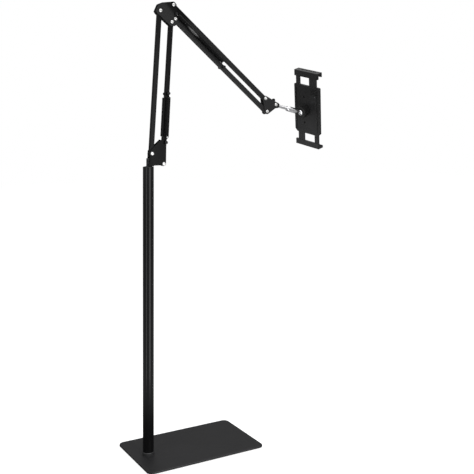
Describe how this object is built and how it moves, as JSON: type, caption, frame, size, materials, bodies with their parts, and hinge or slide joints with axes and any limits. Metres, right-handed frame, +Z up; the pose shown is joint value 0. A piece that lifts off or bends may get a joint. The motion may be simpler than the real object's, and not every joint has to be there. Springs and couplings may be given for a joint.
{
  "type": "tablet floor stand",
  "caption": "Floor stand for a tablet: flat plate, upright pole, spring-balanced double parallel arm, tilting rod with a ball joint and a clamp with sliding jaws.",
  "frame": {"origin": "on the pole's axis, on the floor under the middle foot", "axes": "+Z up the pole, the arm lies in the XZ plane and reaches out along +X over the long side of the base plate, +Y is the side away from the round bolt heads"},
  "size_m": [0.5311, 0.185, 1.0396],
  "materials": {
    "base_paint": "satin powder coat",
    "pole_gloss": "gloss black paint",
    "frame_paint": "satin black paint",
    "bright_steel": "zinc plated",
    "dark_steel": "blackened spring steel",
    "chrome_rod": "polished plating",
    "nylon": "smooth nylon",
    "black_plastic": "fine matt texture",
    "rubber": "soft matt"
  },
  "bodies": {
    "stand": {"base_plate": "base_paint", "base_feet": "rubber", "base_screw": "bright_steel", "pole_tube": "pole_gloss", "pole_slug": "bright_steel", "pole_trim_ring": "pole_gloss", "pole_top_bush": "nylon"},
    "swivel": {"swivel_spindle": "bright_steel", "spindle_clip": "bright_steel", "swivel_washer": "nylon", "lower_bracket": "frame_paint", "lower_washers": "nylon", "lower_bolts": "bright_steel", "lower_nuts": "bright_steel", "lower_spring_studs": "dark_steel", "lower_spring_near": "dark_steel", "lower_spring_far": "dark_steel"},
    "lower_rear_link": {"lower_rear_tube": "frame_paint"},
    "lower_front_link": {"lower_front_tube": "frame_paint", "lower_spring_bolt": "dark_steel", "lower_spring_nut": "dark_steel"},
    "elbow": {"elbow_plate_near": "frame_paint", "elbow_plate_far": "frame_paint", "elbow_washers": "nylon", "elbow_bolts": "bright_steel", "elbow_nuts": "bright_steel", "upper_spring_studs": "dark_steel", "upper_spring_near": "dark_steel", "upper_spring_far": "dark_steel"},
    "upper_top_link": {"upper_top_tube": "frame_paint"},
    "upper_under_link": {"upper_under_tube": "frame_paint", "upper_spring_bolt": "dark_steel", "upper_spring_nut": "dark_steel"},
    "end_bracket": {"end_plate_near": "frame_paint", "end_plate_far": "frame_paint", "end_washers": "nylon", "end_bolts": "bright_steel", "end_nuts": "bright_steel", "tilt_washers": "nylon", "tilt_bolt": "bright_steel"},
    "knob": {"tilt_knob": "black_plastic"},
    "tilt_head": {"tilt_eye": "chrome_rod", "rod_screw": "dark_steel"},
    "rod": {"ball_rod": "chrome_rod"},
    "cup": {"ball_cup": "nylon"},
    "clamp": {"ball_socket": "black_plastic", "clamp_rear_shell": "black_plastic", "clamp_front_plate": "black_plastic", "clamp_grip_pad": "rubber", "clamp_screws": "bright_steel"},
    "locking_ring": {"ball_ring": "black_plastic"},
    "top_jaw": {"upper_jaw": "black_plastic", "upper_jaw_lining": "rubber"},
    "bottom_jaw": {"lower_jaw": "black_plastic", "lower_jaw_lining": "rubber"}
  },
  "joints": [
    {"name": "swivel_turn", "type": "hinge", "parent": "stand", "child": "swivel", "pos_m": [0, 0, 0.6603], "axis": [0, 0, 1], "continuous": true},
    {"name": "lower_lift", "type": "hinge", "parent": "swivel", "child": "lower_rear_link", "pos_m": [0.0065, 0, 0.6892], "axis": [0, 1, 0], "range_deg": [-12, 62], "deforming": ["lower_spring_near", "lower_spring_far"]},
    {"name": "lower_link", "type": "hinge", "parent": "swivel", "child": "lower_front_link", "pos_m": [0.0354, 0, 0.6653], "axis": [0, 1, 0], "range_deg": [-12, 62]},
    {"name": "elbow_level", "type": "hinge", "parent": "lower_rear_link", "child": "elbow", "pos_m": [0.02706, 0, 1.01605], "axis": [0, 1, 0], "range_deg": [-62, 12]},
    {"name": "upper_lift", "type": "hinge", "parent": "elbow", "child": "upper_top_link", "pos_m": [0.06006, 0, 1.03195], "axis": [0, 1, 0], "range_deg": [-75, 20], "deforming": ["upper_spring_near", "upper_spring_far"]},
    {"name": "upper_link", "type": "hinge", "parent": "elbow", "child": "upper_under_link", "pos_m": [0.06486, 0, 1.00005], "axis": [0, 1, 0], "range_deg": [-75, 20]},
    {"name": "end_level", "type": "hinge", "parent": "upper_top_link", "child": "end_bracket", "pos_m": [0.31094, 0, 0.82144], "axis": [0, 1, 0], "range_deg": [-20, 75]},
    {"name": "head_tilt", "type": "hinge", "parent": "end_bracket", "child": "tilt_head", "pos_m": [0.34124, 0, 0.80654], "axis": [0, 1, 0], "range_deg": [-70, 60]},
    {"name": "knob_turn", "type": "hinge", "parent": "end_bracket", "child": "knob", "pos_m": [0.34124, 0, 0.80654], "axis": [0, 1, 0], "range_deg": [0, 360]},
    {"name": "rod_turn", "type": "hinge", "parent": "tilt_head", "child": "rod", "pos_m": [0.34124, 0, 0.80654], "axis": [0.9767, 0, -0.2147], "continuous": true},
    {"name": "ball_tilt", "type": "hinge", "parent": "rod", "child": "cup", "pos_m": [0.42328, 0, 0.7885], "axis": [0.0849, -0.9185, 0.3861], "range_deg": [-72, 7]},
    {"name": "clamp_roll", "type": "hinge", "parent": "cup", "child": "clamp", "pos_m": [0.42328, 0, 0.7885], "axis": [0.9295, 0.2126, 0.3013], "continuous": true},
    {"name": "ring_turn", "type": "hinge", "parent": "clamp", "child": "locking_ring", "pos_m": [0.42328, 0, 0.7885], "axis": [-0.9295, -0.2126, -0.3013], "range_deg": [0, 360]},
    {"name": "top_jaw_slide", "type": "slide", "parent": "clamp", "child": "top_jaw", "axis": [-0.2339, -0.2918, 0.9274], "range_m": [-0.02, 0.012]},
    {"name": "bottom_jaw_slide", "type": "slide", "parent": "clamp", "child": "bottom_jaw", "axis": [0.2339, 0.2918, -0.9274], "range_m": [-0.02, 0.012]}
  ],
  "couplings": [
    {"joint": "lower_link", "follows": "lower_lift", "ratio": 1},
    {"joint": "elbow_level", "follows": "lower_lift", "ratio": -1},
    {"joint": "upper_link", "follows": "upper_lift", "ratio": 1},
    {"joint": "end_level", "follows": "upper_lift", "ratio": -1}
  ]
}
